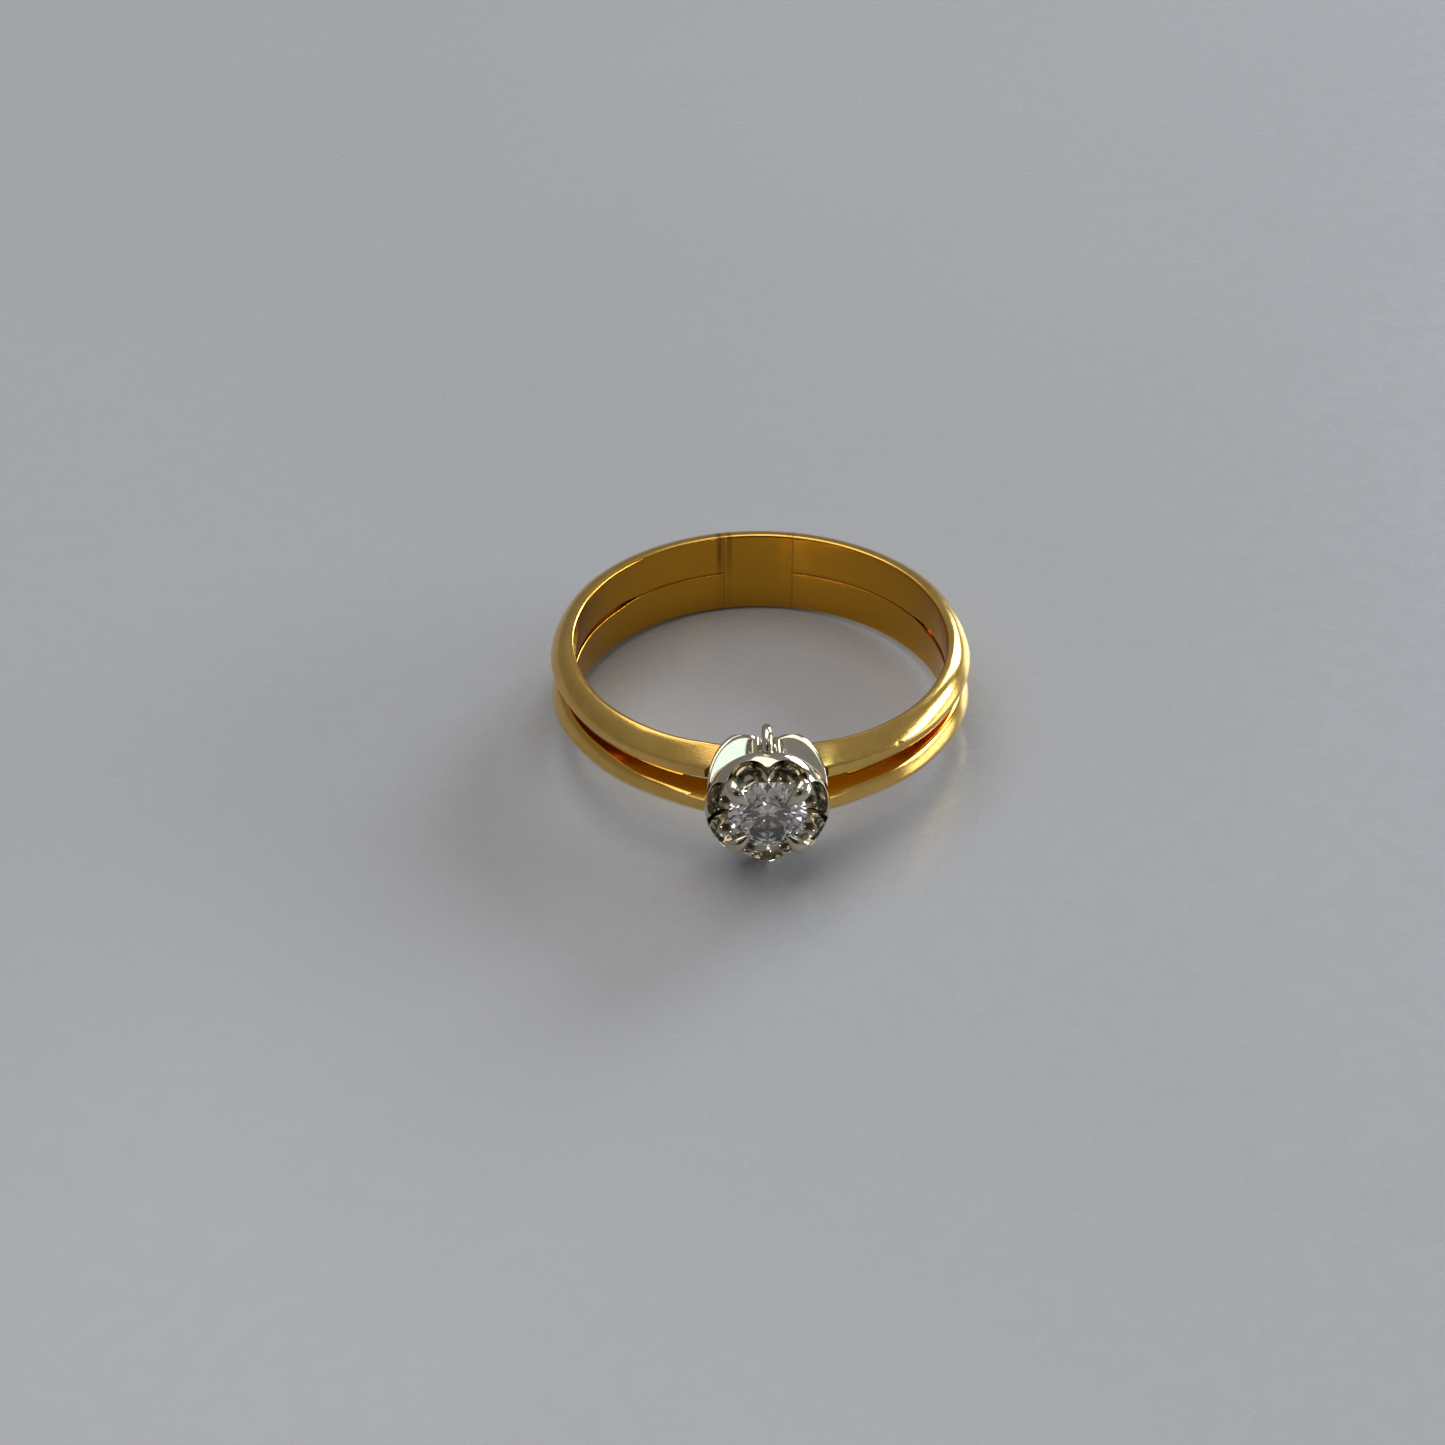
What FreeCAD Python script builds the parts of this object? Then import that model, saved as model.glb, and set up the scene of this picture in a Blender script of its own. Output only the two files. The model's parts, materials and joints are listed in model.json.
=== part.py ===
import FreeCAD, Part
import os
from math import cos, degrees, hypot, radians, sin, sqrt, tan

# Engagement ring: a shank of two yellow gold rails that part at the shoulders, and a white gold illusion
# head that holds one round brilliant. Nothing on it moves: every joint is soldered or burnished.
#
# Frame: the finger hole's axis is Z and the origin is the hole's centre. The head stands out along -Y, and
# +X is on the right of somebody who looks at the stone. Lengths are in millimetres and angles in degrees.
# Angles round the shank are counted from the head, towards +X for the right half and -X for the left half.
# Head pieces are made upright, with "height" along their own Z counted from the ring's centre, and then
# laid over so that height runs along -Y.

V = FreeCAD.Vector
X_AXIS = V(1, 0, 0)
Z_AXIS = V(0, 0, 1)

# ---- Shank: finger hole and rail sections --------------------------------------------------------------
finger_radius = 8.5        # size 17, the inner diameter in millimetres
edge_height = 0.16         # where the outer flank starts, above the finger hole
edge_bevel = 0.12          # softened rim of the finger hole
ridge_round = 0.09         # how soft the ridge beside the head is
# The upper rail's section changes along these angles: beside the head, at the shoulder, on the flank, at
# the side and round the back. Heights are above the finger hole, offsets from the ring's middle plane.
stations = [14.0, 32.0, 55.0, 92.0, 130.0]
edge_offset = [1.88, 1.8, 1.78, 1.93, 2.04]         # outer edge
crest_height = [1.04, 0.9, 0.92, 1.09, 1.13]         # ridge, or the top of the dome
crest_offset = [1.08, 0.98, 0.92, 1.0, 1.03]
groove_height = [1.0, 0.74, 0.56, 0.5, 0.48]        # where the groove between the rails starts
groove_open = [0.5, 0.3, 0.08, 0.0, 0.0]            # how far the groove leans away from the slit
roof_share = [1.0, 0.85, 0.45, 0.2, 0.0]            # 0 is a dome and 1 is a roof with a ridge

# ---- Shank: the slit between the rails, the solder and the sizing piece --------------------------------
slit_start_right = 122.0
slit_start_left = 138.0
slit_opening_angle = 9.0   # the slit reaches its width over this angle
slit_half = 0.14
seam_half = 0.04           # solder film between the rails, half its thickness
seam_recess = 0.07         # the film stops this far short of the finger hole
sizing_length = 3.2        # piece let in at the back, along the finger hole
sizing_offset_angle = 0.7  # its middle lies this far towards +X
joint_film = 0.09          # solder between the sizing piece and the rails

# ---- Head: heights, each above the piece that it stands on ---------------------------------------------
cup_side_rise = 0.36       # the lobes leave the floor's side, above the finger hole
cup_floor_rise = 0.55      # top of the cup's floor, above the finger hole
stone_rise = 1.91          # underside of the stone's girdle, above the cup's floor
cup_side_top = finger_radius + cup_side_rise
cup_floor_top = finger_radius + cup_floor_rise
girdle_height = cup_floor_top + stone_rise

# ---- Stone ---------------------------------------------------------------------------------------------
stone_radius = 1.72        # 3.44 mm, about 0.15 carat
girdle_thickness = 0.08
crown_angle = 34.5
pavilion_angle = 40.75
table_share = 0.57         # table's width over the stone's
star_share = 0.5           # how far the stars reach from the table to the girdle
lower_half_share = 0.78    # how far the lower halves reach from the girdle to the culet
main_facets = 8

# ---- Head: collet, which carries the stone on its upper edge -------------------------------------------
collet_drop = 0.2          # its top, below the girdle
collet_inset = 0.22        # its outside at the top, inside the stone's edge
collet_head_wall = 0.26
collet_foot_radius = 1.2
collet_foot_wall = 0.32
collet_top = girdle_height - collet_drop
collet_head_radius = stone_radius - collet_inset
collet_head_bore = collet_head_radius - collet_head_wall
collet_foot_bore = collet_foot_radius - collet_foot_wall

# ---- Head: illusion bowl, which is bored for the collet ------------------------------------------------
bowl_rim_rise = 0.06       # its rim, above the girdle
bowl_rim_width = 1.04      # from the collet's top to the rim's edge
bowl_swell = 0.18          # how far the wall swells past the rim
bowl_tuck = 0.26           # how far the wall's foot lies inside its widest place
bowl_wide_drop = 0.76      # widest place, below the rim
bowl_wall_drop = 1.16      # foot of the wall, below the rim
bowl_under_drop = 1.52     # underside beside the collet, below the rim
rim_round = 0.08
bowl_rim_height = girdle_height + bowl_rim_rise
bowl_wide_height = bowl_rim_height - bowl_wide_drop
bowl_wall_foot = bowl_rim_height - bowl_wall_drop
bowl_under_height = bowl_rim_height - bowl_under_drop
bowl_rim_radius = collet_head_radius + bowl_rim_width
bowl_radius = bowl_rim_radius + bowl_swell
bowl_foot_radius = bowl_radius - bowl_tuck
scoop_count = 8
scoop_out = 0.45           # centre of each scoop, outside the collet's top
scoop_lift = 0.18          # and above the rim
scoop_overlap = 0.234      # each scoop reaches this far past the middle of the ridge beside it
scoop_offset = collet_head_radius + scoop_out
scoop_height = bowl_rim_height + scoop_lift
scoop_radius = scoop_offset * sin(radians(180 / scoop_count)) + scoop_overlap

# ---- Head: posts under the bowl's foot, and the cup whose lobes reach past them ------------------------
post_wire_radius = 0.2
post_offset = 0.46         # each side of the loop
post_inset = 0.1           # from the bowl's foot
post_sink = 0.15           # posts are made from this far under the cup's floor, and the cup trims them
post_distance = bowl_foot_radius - post_inset
cup_floor_margin = 0.18    # the floor reaches this far past the rails' sides
cup_floor_radius = edge_offset[0] + cup_floor_margin
light_hole_radius = 0.85   # opening under the stone
lobe_rise = 0.61           # tip of the flare, above the cup's floor
lobe_root_radius = 1.75
lobe_thickness = 0.27
lobe_step = 1.06           # each lobe's centre lies this far inside the posts
lobe_overlap = 0.3         # upper and lower lobes reach this far past the middle plane
lobe_margin = 0.28         # the flare is made this much wider than the lobes
lobe_offset_z = post_distance - lobe_step
lobe_radius = lobe_offset_z + lobe_overlap
# The clefts between upper and lower lobes go in as far as the floor.
lobe_offset_x = cup_floor_radius - sqrt(lobe_radius**2 - lobe_offset_z**2)
lobe_tip_radius = hypot(lobe_offset_x, lobe_offset_z) + lobe_radius + lobe_margin
lobe_tip_height = cup_floor_top + lobe_rise
# The clefts above and below the middle lie this far from the head's axis.
cleft_reach = lobe_offset_z + sqrt(lobe_radius**2 - lobe_offset_x**2)
rail_end_angle = 2.0       # rails are made to here, and the cup trims them

# ---- Claws, in each claw's own diagonal plane ----------------------------------------------------------
# The middle line is measured from the underside of the stone's girdle: outwards, and up. Widths and
# thicknesses run from root to tip.
claw_count = 4
claw_line = [(0.48, -0.4), (0.54, 0.04), (0.38, 0.37), (0.02, 0.48), (-0.44, 0.44)]
claw_widths = [0.6, 0.8, 0.9, 0.82, 0.4]
claw_thicknesses = [0.3, 0.42, 0.46, 0.42, 0.3]

# ---- Gallery loops: wires above and below the head, from the bowl out and back to the cup --------------
loop_wire_radius = 0.24
loop_clearance = 0.06      # the wire stays this far outside the finger hole
loop_stand = 0.53          # furthest point of the loop's middle line, outside the bowl
loop_root_depth = 0.04     # the loop starts this far up inside the bowl
loop_root_inset = 0.26     # and this far inside the foot of its wall
loop_foot_depth = 0.1      # it ends this far inside the cup's side
loop_reach = bowl_radius + loop_stand
loop_low = finger_radius + loop_clearance + loop_wire_radius
loop_top = (bowl_foot_radius - loop_root_inset, bowl_wall_foot + loop_root_depth)
loop_foot = (min(cup_floor_radius, cleft_reach) - loop_foot_depth, loop_low)
# The bend is the arc from the top that just reaches both the furthest and the lowest line.
loop_out, loop_down = loop_reach - loop_top[0], loop_top[1] - loop_low
loop_bend = loop_out + loop_down - sqrt(2 * loop_out * loop_down)

reach = 30.0               # larger than the ring, for cutting bodies


def smooth(share):
    """0 to 1 with a smooth start and end, and no change outside that."""
    kept = min(1.0, max(0.0, share))
    return kept * kept * (3 - 2 * kept)


def mix(first, second, share):
    return first + (second - first) * share


def largest(shape):
    return max(shape.Solids, key=lambda solid: solid.Volume)


def along(values, angle):
    """A section value at an angle: it changes smoothly from each station to the next."""
    found = values[0]
    for place in range(1, len(stations)):
        share = (angle - stations[place - 1]) / (stations[place] - stations[place - 1])
        found = mix(found, values[place], smooth(share))
    return found


# ---- Shank ---------------------------------------------------------------------------------------------
def sizing_angle():
    """Half the angle that the sizing piece takes up."""
    return degrees(sizing_length / finger_radius) / 2


def joint_angle(side):
    """Where the rails of one side end at the back: side is 1 for the right half and -1 for the left."""
    return 180 - sizing_angle() - side * sizing_offset_angle - degrees(joint_film / finger_radius)


def gap_half(angle, slit_start):
    """Half the space between the rails at the finger hole."""
    return mix(seam_half, slit_half, smooth((slit_start - angle) / slit_opening_angle))


def arch(place, roof):
    """Height share at a place from the crest, 0, to the edge, 1: a quarter ellipse that turns into a roof."""
    dome = sqrt(max(0.0, 1 - place * place))
    fall = sqrt(1 + ridge_round**2) - ridge_round
    peak = 1 - (sqrt(place**2 + ridge_round**2) - ridge_round) / fall
    return mix(dome, peak, roof)


def crest_points(angle, slit_start):
    """The upper rail's outer line, from the groove over the crest to the outer edge, as (radius, z)."""
    inner = gap_half(angle, slit_start) + along(groove_open, angle)
    outer, crest = along(edge_offset, angle), along(crest_offset, angle)
    top, valley, roof = (along(values, angle) for values in (crest_height, groove_height, roof_share))
    turns = [sin(radians(step)) for step in (0, 15, 30, 45, 60, 75, 90)]
    inner_side = [(valley + (top - valley) * arch(t, roof), crest - (crest - inner) * t) for t in turns]
    above_edge = top - edge_height
    outer_side = [(edge_height + above_edge * arch(t, roof), crest + (outer - crest) * t) for t in turns]
    line = inner_side[::-1] + outer_side[1:]
    return [(finger_radius + height, z) for height, z in line]


def at(angle, radius, z):
    """A point round the shank, counted from the head towards +X."""
    return V(radius * sin(radians(angle)), -radius * cos(radians(angle)), z)


def rail_section(angle, slit_start):
    """The upper rail's section. It reaches inside the finger hole, which is cut out afterwards."""
    line = [at(angle, r, z) for r, z in crest_points(angle, slit_start)]
    dome = Part.BSplineCurve()
    dome.interpolate(line)
    depth = 2 * edge_bevel
    outer = along(edge_offset, angle)
    lean = along(groove_open, angle) * depth / along(groove_height, angle)
    corners = [
        line[-1],
        at(angle, finger_radius + edge_bevel, outer),
        at(angle, finger_radius - depth, outer - edge_bevel - depth),
        at(angle, finger_radius - depth, gap_half(angle, slit_start) - lean),
        line[0],
    ]
    sides = [Part.makeLine(a, b) for a, b in zip(corners, corners[1:])]
    return Part.Wire([dome.toShape()] + sides)


def finger_hole():
    return Part.makeCylinder(finger_radius, reach, V(0, 0, -reach / 2))


def rail_angles(end, slit_start):
    """Where a rail's sections stand: evenly from head to joint, but closer where the slit opens."""
    marks = [rail_end_angle, slit_start - slit_opening_angle, slit_start, end]
    found = [rail_end_angle]
    for start, stop, steps in zip(marks, marks[1:], (14, 4, 6)):
        found += [mix(start, stop, (step + 1) / steps) for step in range(steps)]
    return found


def rail(side, slit_start):
    """One upper rail, from the head to the sizing piece."""
    sections = [rail_section(angle, slit_start) for angle in rail_angles(joint_angle(side), slit_start)]
    body = Part.makeLoft(sections, True, False)
    body = body.cut(finger_hole()).cut(cup_space())
    if side < 0:
        body = body.mirror(V(), X_AXIS)
    return body


def back_section(angle):
    """Both rails' section in one outline, round the back."""
    upper = crest_points(180, 0)[1:]
    half = upper[-1][1]
    outline = [at(angle, r, z) for r, z in upper]
    low = [at(angle, r, -z) for r, z in upper]
    dome_up, dome_low = Part.BSplineCurve(), Part.BSplineCurve()
    dome_up.interpolate(outline)
    dome_low.interpolate(low)
    valley = Part.makeLine(low[0], outline[0])
    corners = [
        outline[-1],
        at(angle, finger_radius + edge_bevel, half),
        at(angle, finger_radius, half - edge_bevel),
        at(angle, finger_radius, edge_bevel - half),
        at(angle, finger_radius + edge_bevel, -half),
        low[-1],
    ]
    sides = [Part.makeLine(a, b) for a, b in zip(corners, corners[1:])]
    return Part.Face(Part.Wire([dome_up.toShape()] + sides + [dome_low.toShape(), valley]))


def back_piece(start, end):
    """A stretch of the back, both rails wide, between two angles counted towards +X."""
    return back_section(start).revolve(V(), Z_AXIS, end - start)


def seam(side, slit_start, rails):
    """The solder film between the rails of one side."""
    low, high = finger_radius + seam_recess, finger_radius + groove_height[-1] - seam_recess
    corners = [(low, -seam_half), (high, -seam_half), (high, seam_half), (low, seam_half)]
    outline = Part.makePolygon([at(slit_start, r, z) for r, z in corners + corners[:1]])
    film = Part.Face(outline).revolve(V(), Z_AXIS, joint_angle(side) - slit_start)
    if side < 0:
        film = film.mirror(V(), X_AXIS)
    return largest(film.cut(rails))


# ---- Head ----------------------------------------------------------------------------------------------
def lay_over(shape):
    """Turns a head piece so that its height runs along -Y and its own Y runs along +Z."""
    laid = shape.copy()
    laid.rotate(V(), X_AXIS, 90)
    return laid


def turned(points):
    """A solid of revolution about the height axis, from (radius, height) points joined by straight lines."""
    outline = Part.makePolygon([V(r, 0, h) for r, h in points + points[:1]])
    return Part.Face(outline).revolve(V(), Z_AXIS, 360)


def lobe_outline(bottom, top):
    """The four lobes' outline as an upright prism."""
    lobes = [
        Part.makeCylinder(lobe_radius, top - bottom, V(x, y, bottom))
        for x in (-lobe_offset_x, lobe_offset_x)
        for y in (-lobe_offset_z, lobe_offset_z)
    ]
    return lobes[0].multiFuse(lobes[1:]).removeSplitter()


def under_flare():
    """Underside of the flare at the lobes' made radius."""
    return lobe_tip_height - lobe_thickness


def cup_space():
    """What the cup takes from the rails: its floor, and everything above its lobes' underside."""
    floor = Part.makeCylinder(cup_floor_radius, reach)
    above = turned(
        [
            (0, cup_side_top),
            (cup_floor_radius, cup_side_top),
            (lobe_tip_radius, under_flare()),
            (lobe_tip_radius, reach),
            (0, reach),
        ]
    )
    return lay_over(floor.fuse(above))


def cup():
    """The lobed cup: a thick floor that closes the shank, with four lobes that flare out from it."""
    flare = turned(
        [
            (light_hole_radius, finger_radius - 1),
            (cup_floor_radius, finger_radius - 1),
            (cup_floor_radius, cup_side_top),
            (lobe_tip_radius, under_flare()),
            (lobe_tip_radius, lobe_tip_height),
            (lobe_root_radius, cup_floor_top),
            (light_hole_radius, cup_floor_top),
        ]
    )
    lobed = flare.common(lobe_outline(finger_radius - 2, lobe_tip_height + 1))
    return lay_over(lobed).cut(finger_hole())


def collet_blank():
    return turned(
        [
            (collet_foot_bore, cup_floor_top),
            (collet_foot_radius, cup_floor_top),
            (collet_head_radius, collet_top),
            (collet_head_bore, collet_top),
        ]
    )


def collet(stone_cutter):
    """The tube that carries the stone on its upper edge."""
    return lay_over(collet_blank()).cut(stone_cutter)


def scoops():
    """The bright-cut hollows round the stone: round, with ridges between them."""
    found = []
    for index in range(scoop_count):
        turn = radians((index + 0.5) * 360 / scoop_count)
        centre = V(scoop_offset * cos(turn), scoop_offset * sin(turn), scoop_height)
        found.append(Part.makeSphere(scoop_radius, centre))
    return found


def bowl(claws):
    """The illusion bowl, scooped, bored for the collet and notched for the claws."""
    foot, wide = V(bowl_foot_radius, 0, bowl_wall_foot), V(bowl_radius, 0, bowl_wide_height)
    swell = V(mix(bowl_foot_radius, bowl_radius, 0.75), 0, mix(bowl_wall_foot, bowl_wide_height, 0.4))
    rim_out = V(bowl_rim_radius, 0, bowl_rim_height - rim_round)
    rim_in = V(bowl_rim_radius - rim_round, 0, bowl_rim_height)
    corner = rim_round * (1 - sqrt(0.5))
    rim_mid = V(bowl_rim_radius - corner, 0, bowl_rim_height - corner)
    lean = V(mix(bowl_radius, bowl_rim_radius, 0.32), 0, mix(bowl_wide_height, bowl_rim_height, 0.5))
    axis_top, axis_low = V(0, 0, bowl_rim_height), V(0, 0, bowl_under_height)
    edges = [
        Part.makeLine(axis_low, V(collet_foot_radius, 0, bowl_under_height)),
        Part.makeLine(V(collet_foot_radius, 0, bowl_under_height), foot),
        Part.Arc(foot, swell, wide).toShape(),
        Part.Arc(wide, lean, rim_out).toShape(),
        Part.Arc(rim_out, rim_mid, rim_in).toShape(),
        Part.makeLine(rim_in, axis_top),
        Part.makeLine(axis_top, axis_low),
    ]
    blank = Part.Face(Part.Wire(edges)).revolve(V(), Z_AXIS, 360)
    bore = turned(
        [
            (0, cup_floor_top),
            (collet_foot_radius, cup_floor_top),
            (collet_head_radius, collet_top),
            (collet_head_radius, reach),
            (0, reach),
        ]
    )
    body = blank.cut(scoops() + [bore])
    return lay_over(body).cut(claws)


def claw(index, stone_cutter):
    """One claw: it stands on a ridge of the bowl, rises past the girdle and is pressed down on the crown."""
    turn = radians((index + 0.5) * 360 / claw_count)
    out, across = V(cos(turn), sin(turn), 0), V(-sin(turn), cos(turn), 0)
    spine = [out * (stone_radius + aside) + Z_AXIS * (girdle_height + up) for aside, up in claw_line]
    sections = []
    for place, (point, width, thickness) in enumerate(zip(spine, claw_widths, claw_thicknesses)):
        ahead = spine[min(place + 1, len(spine) - 1)]
        behind = spine[max(place - 1, 0)]
        facing = (ahead - behind).normalize()
        beside, over = across * width / 2, across.cross(facing) * thickness / 2
        section = Part.Ellipse(point + beside, point + over, point)
        sections.append(Part.Wire(section.toShape()))
    return lay_over(Part.makeLoft(sections, True, False)).cut(stone_cutter)


def loop(side, head_pieces):
    """The gallery loop: a wire that leaves the bowl, bows outwards and runs straight back into the cup."""
    top, foot = (V(0, distance, height) for distance, height in (loop_top, loop_foot))
    belly, lowest = V(0, loop_reach, loop_low + loop_bend), V(0, loop_reach - loop_bend, loop_low)
    path = Part.Wire([Part.Arc(top, belly, lowest).toShape(), Part.makeLine(lowest, foot)])
    start = path.Edges[0].tangentAt(path.Edges[0].FirstParameter)
    section = Part.Wire(Part.makeCircle(loop_wire_radius, top, start))
    wire = path.makePipeShell([section], True, False)
    if side < 0:
        wire = wire.mirror(V(), V(0, 1, 0))
    return largest(lay_over(wire).cut(head_pieces))


def posts(side, head_pieces):
    """The two short posts beside the loop, from the cup's lobes to the bowl."""
    made = []
    for x in (-post_offset, post_offset):
        foot = V(x, side * post_distance, cup_floor_top - post_sink)
        post = Part.makeCylinder(post_wire_radius, bowl_rim_height - foot.z, foot)
        pieces = lay_over(post).cut(head_pieces)
        made.append(between(pieces, bowl_wall_foot))
    return Part.makeCompound(made)


def between(shape, height):
    """The solid that a post leaves under the bowl, once the head's pieces are cut out of it."""
    return max(shape.Solids, key=lambda solid: (solid.BoundBox.YMax > -height, solid.Volume))


# ---- Stone ---------------------------------------------------------------------------------------------
def slice_off(body, points):
    """Cuts a facet through three points. What lies beyond it, away from the stone's middle, goes."""
    a, b, c = points
    normal = (b - a).cross(c - a).normalize()
    middle = V(0, 0, girdle_height)
    if normal.dot(a - middle) < 0:
        normal = normal * -1
    waste = Part.makeBox(reach, reach, reach, V(-reach / 2, -reach / 2, 0))
    waste.Placement = FreeCAD.Placement(a, FreeCAD.Rotation(Z_AXIS, normal))
    return body.cut(waste)


def stone():
    """A round brilliant: table, stars, mains and halves on the crown, mains and halves below, no culet."""
    step = 360 / main_facets
    top, low = girdle_height + girdle_thickness, girdle_height
    table_radius = stone_radius * table_share
    star_radius = mix(table_radius, stone_radius, star_share)
    table_height = top + (stone_radius - table_radius) * tan(radians(crown_angle))
    near = cos(radians(step / 2))
    star_height = top + (stone_radius - star_radius * near) * tan(radians(crown_angle))
    half_radius = stone_radius * (1 - lower_half_share)
    half_height = low - (stone_radius - half_radius * near) * tan(radians(pavilion_angle))
    culet = V(0, 0, low - stone_radius * tan(radians(pavilion_angle)))

    def point(turn, radius, height):
        return V(radius * cos(radians(turn)), radius * sin(radians(turn)), height)

    depth = stone_radius
    body = Part.makeCylinder(stone_radius, 2 * depth + girdle_thickness, V(0, 0, low - depth))
    body = slice_off(body, [point(turn, table_radius, table_height) for turn in (0, 90, 180)])
    for index in range(main_facets):
        turn = index * step
        corner, girdle_top = point(turn, table_radius, table_height), point(turn, stone_radius, top)
        next_corner = point(turn + step, table_radius, table_height)
        star, last_star = (point(turn + s * step / 2, star_radius, star_height) for s in (1, -1))
        body = slice_off(body, [corner, star, girdle_top])
        body = slice_off(body, [corner, next_corner, star])
        half = point(turn + step / 2, half_radius, half_height)
        body = slice_off(body, [point(turn, stone_radius, low), half, culet])
        for side, inner in ((1, star), (-1, last_star)):
            middle = turn + side * step / 2
            body = slice_off(body, [inner, girdle_top, point(middle, stone_radius, top)])
            lower = [point(middle, half_radius, half_height), point(turn, stone_radius, low)]
            body = slice_off(body, lower + [point(middle, stone_radius, low)])
    return lay_over(body)


# ---- Assembly ------------------------------------------------------------------------------------------
def build():
    """Every piece of the ring, by name."""
    nodes = {}
    for side, word, slit_start in ((1, "right", slit_start_right), (-1, "left", slit_start_left)):
        upper = rail(side, slit_start)
        nodes[f"rail_upper_{word}"] = upper
        lower = upper.mirror(V(), Z_AXIS)
        nodes[f"rail_lower_{word}"] = lower
        nodes[f"seam_solder_{word}"] = seam(side, slit_start, [upper, lower])

    film = degrees(joint_film / finger_radius)
    start, end = 180 - sizing_angle() - sizing_offset_angle, 180 + sizing_angle() - sizing_offset_angle
    nodes["sizing_piece"] = back_piece(start, end)
    nodes["joint_solder_right"] = back_piece(start - film, start)
    nodes["joint_solder_left"] = back_piece(end, end + film)

    gem = stone()
    claws = [claw(index, gem) for index in range(claw_count)]
    nodes["diamond"] = gem
    nodes["base_cup"] = cup()
    nodes["collet"] = collet(gem)
    nodes["illusion_bowl"] = bowl(claws)
    for word, piece in zip(("upper_right", "upper_left", "lower_left", "lower_right"), claws):
        nodes[f"claw_{word}"] = piece

    head_pieces = [nodes["base_cup"], nodes["illusion_bowl"], nodes["collet"]]
    for side, word in ((1, "upper"), (-1, "lower")):
        nodes[f"gallery_loop_{word}"] = loop(side, head_pieces)
        nodes[f"gallery_posts_{word}"] = posts(side, head_pieces)
    return nodes


os.makedirs("parts", exist_ok=True)
for name, shape in build().items():
    shape.exportStep(os.path.join("parts", name + ".step"))
    print(f"{name:22s} solids {len(shape.Solids)}  volume {shape.Volume:9.4f}  valid {shape.isValid()}")
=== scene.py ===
import json
from math import cos, degrees, radians, sin, sqrt, tan

import bmesh
import bpy
import numpy as np
from mathutils import Matrix, Vector


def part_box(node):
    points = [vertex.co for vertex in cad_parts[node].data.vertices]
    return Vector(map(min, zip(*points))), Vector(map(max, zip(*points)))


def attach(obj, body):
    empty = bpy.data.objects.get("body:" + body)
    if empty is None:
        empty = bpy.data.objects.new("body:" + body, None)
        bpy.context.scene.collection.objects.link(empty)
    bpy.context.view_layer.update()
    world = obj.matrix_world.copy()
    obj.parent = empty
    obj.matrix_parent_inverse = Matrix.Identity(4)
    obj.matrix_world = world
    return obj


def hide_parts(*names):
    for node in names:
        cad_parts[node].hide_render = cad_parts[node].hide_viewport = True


# The looks of an engagement ring: two yellow gold rails that part at the shoulders, and a white gold
# illusion head with one round brilliant. Each piece is built here from the ring's own formulas, finer than
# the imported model, and stands for the CAD node of its name. Only the two solder films between the rails
# stay as they are in the frame. Lengths are in millimetres until a mesh is made, and angles are in degrees.
# The finger hole's axis is Z, the head stands out along -Y and +X is to the right. Angles round the shank
# count from the head. Head pieces are described by x, y and a height that runs along -Y.

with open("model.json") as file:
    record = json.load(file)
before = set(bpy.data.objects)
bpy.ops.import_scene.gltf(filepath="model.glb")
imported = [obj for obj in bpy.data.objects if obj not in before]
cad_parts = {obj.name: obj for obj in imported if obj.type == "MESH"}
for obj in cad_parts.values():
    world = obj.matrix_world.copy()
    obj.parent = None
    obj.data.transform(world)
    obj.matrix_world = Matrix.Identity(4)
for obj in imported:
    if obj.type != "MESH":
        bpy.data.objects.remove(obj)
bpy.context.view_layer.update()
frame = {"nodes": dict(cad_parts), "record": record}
MM = 0.001

# ---- Shank ----------------------------------------------------------------------------------------------
finger_radius = frame["record"]["mounts"][0]["dims"]["r_mm"]
edge_height = 0.16
edge_bevel = 0.12
ridge_round = 0.09
# A section's sizes at these angles from the head; past the last one they stay as they are.
stations = [14.0, 32.0, 55.0, 92.0, 130.0]
edge_offset = [1.88, 1.8, 1.78, 1.93, 2.04]
crest_height = [1.04, 0.9, 0.92, 1.09, 1.13]
crest_offset = [1.08, 0.98, 0.92, 1.0, 1.03]
groove_height = [1.0, 0.74, 0.56, 0.5, 0.48]
groove_open = [0.5, 0.3, 0.08, 0.0, 0.0]
roof_share = [1.0, 0.85, 0.45, 0.2, 0.0]
slit_starts = {"right": 122.0, "left": 138.0}
slit_opening_angle = 9.0
slit_half = 0.14
seam_half = 0.04
head_end_range = (2.0, 30.0)   # the rails' head ends are looked for between these angles
sizing_length = 3.2
sizing_offset_angle = 0.7
joint_film = 0.09
joint_sink = 0.003         # the solder film lies this far under the metal beside it
slit_corner = 0.04         # softened edge where the slit meets the finger hole
# Knocks in the rails' ridges, by their angles. The finger hole's side moves in by as much under them.
nicks = {"upper_right": [20.0, 30.4, 39.0], "lower_right": [26.0, 37.6], "lower_left": [24.0]}
nick_depth = 0.035
nick_width = 0.7           # degrees along the ridge
nick_reach = 0.12          # across it

# ---- Head -----------------------------------------------------------------------------------------------
cup_floor_radius = 2.06
cup_floor_top = 9.05
light_hole_radius = 0.85
light_hole_bevel = 0.05
finger_ease = 0.03         # the light hole's edge is eased by this at the finger hole
cup_side_top = 8.86
cup_under_slope = 0.344    # the rails are cut under a cone with this rise
petal_thickness = 0.27
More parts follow.
